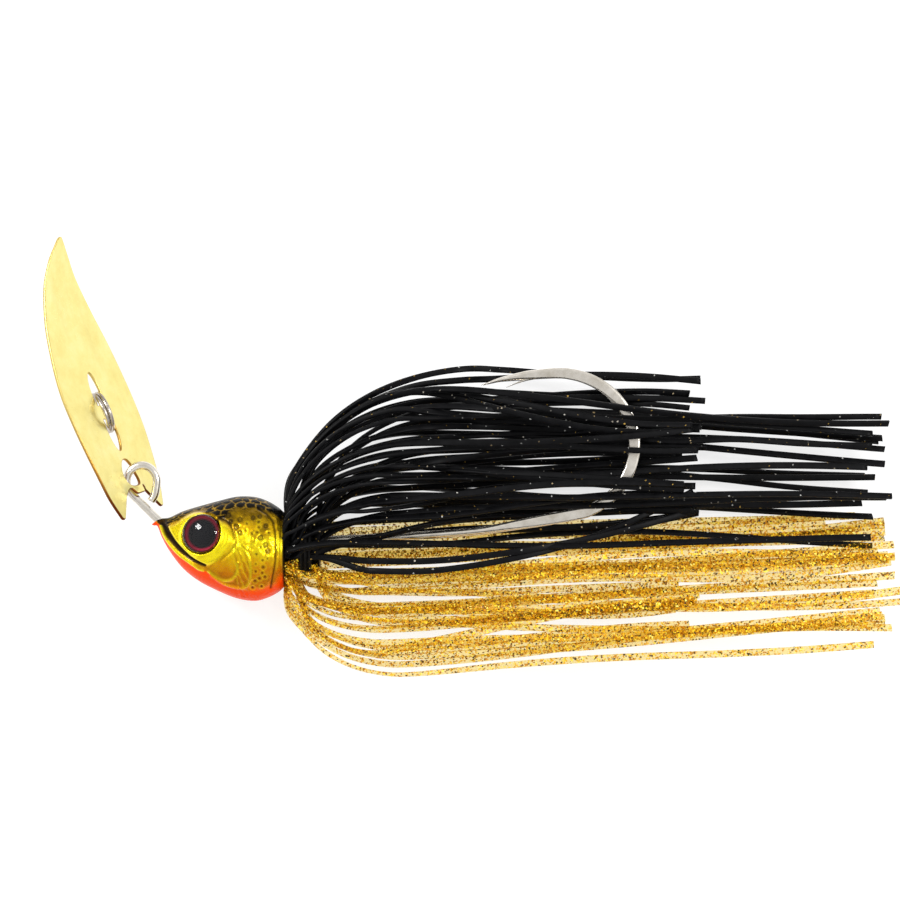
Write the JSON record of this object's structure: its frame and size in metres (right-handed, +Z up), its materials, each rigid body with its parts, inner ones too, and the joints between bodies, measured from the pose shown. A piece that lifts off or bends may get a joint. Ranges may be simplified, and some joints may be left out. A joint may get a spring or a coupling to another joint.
{
  "type": "bladed swim jig fishing lure",
  "caption": "Fishing lure: cast fish-head jig on a single hook, swinging leaf-shaped blade with a split ring, two-colour strand skirt.",
  "frame": {"origin": "centre of the bounding box's base, on the surface that the lure lies on", "axes": "+X from the blade to the skirt's tips, +Y from the fish's belly to its back, +Z up, from its right side to its left"},
  "size_m": [0.1139, 0.0587, 0.0139],
  "materials": {
    "head_paint": "gold chrome candy paint with a black back and an orange-red belly, under clear coat",
    "hook_nickel": "satin nickel, slightly warm",
    "blade_brass": "pale satin gold plate",
    "ring_nickel": "bright nickel",
    "collar_rubber": "matte",
    "eye_foil": "burgundy foil ring round a black pupil",
    "eye_resin": "clear epoxy dome",
    "black_silicone": "black with sparse fine flake, soft sheen",
    "gold_silicone": "clear amber full of gold and dark glitter"
  },
  "bodies": {
    "jig": {"black_strand_01": "black_silicone", "black_strand_02": "black_silicone", "black_strand_03": "black_silicone", "black_strand_04": "black_silicone", "black_strand_05": "black_silicone", "black_strand_06": "black_silicone", "black_strand_07": "black_silicone", "black_strand_08": "black_silicone", "black_strand_09": "black_silicone", "black_strand_10": "black_silicone", "black_strand_11": "black_silicone", "black_strand_12": "black_silicone", "black_strand_13": "black_silicone", "black_strand_14": "black_silicone", "black_strand_15": "black_silicone", "black_strand_16": "black_silicone", "black_strand_17": "black_silicone", "black_strand_18": "black_silicone", "black_strand_19": "black_silicone", "black_strand_20": "black_silicone", "black_strand_21": "black_silicone", "black_strand_22": "black_silicone", "black_strand_23": "black_silicone", "black_strand_24": "black_silicone", "black_strand_25": "black_silicone", "black_strand_26": "black_silicone", "black_strand_27": "black_silicone", "black_strand_28": "black_silicone", "black_strand_29": "black_silicone", "eye_disc_left": "eye_foil", "eye_disc_right": "eye_foil", "eye_dome_left": "eye_resin", "eye_dome_right": "eye_resin", "gold_strand_01": "gold_silicone", "gold_strand_02": "gold_silicone", "gold_strand_03": "gold_silicone", "gold_strand_04": "gold_silicone", "gold_strand_05": "gold_silicone", "gold_strand_06": "gold_silicone", "gold_strand_07": "gold_silicone", "gold_strand_08": "gold_silicone", "gold_strand_09": "gold_silicone", "gold_strand_10": "gold_silicone", "gold_strand_11": "gold_silicone", "gold_strand_12": "gold_silicone", "gold_strand_13": "gold_silicone", "gold_strand_14": "gold_silicone", "gold_strand_15": "gold_silicone", "gold_strand_16": "gold_silicone", "gold_strand_17": "gold_silicone", "gold_strand_18": "gold_silicone", "head_casting": "head_paint", "hook": "hook_nickel", "skirt_collar": "collar_rubber"},
    "blade_body": {"blade": "blade_brass"},
    "ring_body": {"split_ring": "ring_nickel"}
  },
  "joints": [
    {"name": "blade_swing", "type": "hinge", "parent": "jig", "child": "blade_body", "pos_m": [-0.04406, -0.00324, 0.00688], "axis": [0, 0, 1], "range_deg": [-30, 60]},
    {"name": "ring_turn", "type": "hinge", "parent": "blade_body", "child": "ring_body", "pos_m": [-0.04914, 0.00603, 0.00696], "axis": [0.8495, 0.3545, -0.3907], "continuous": true}
  ]
}
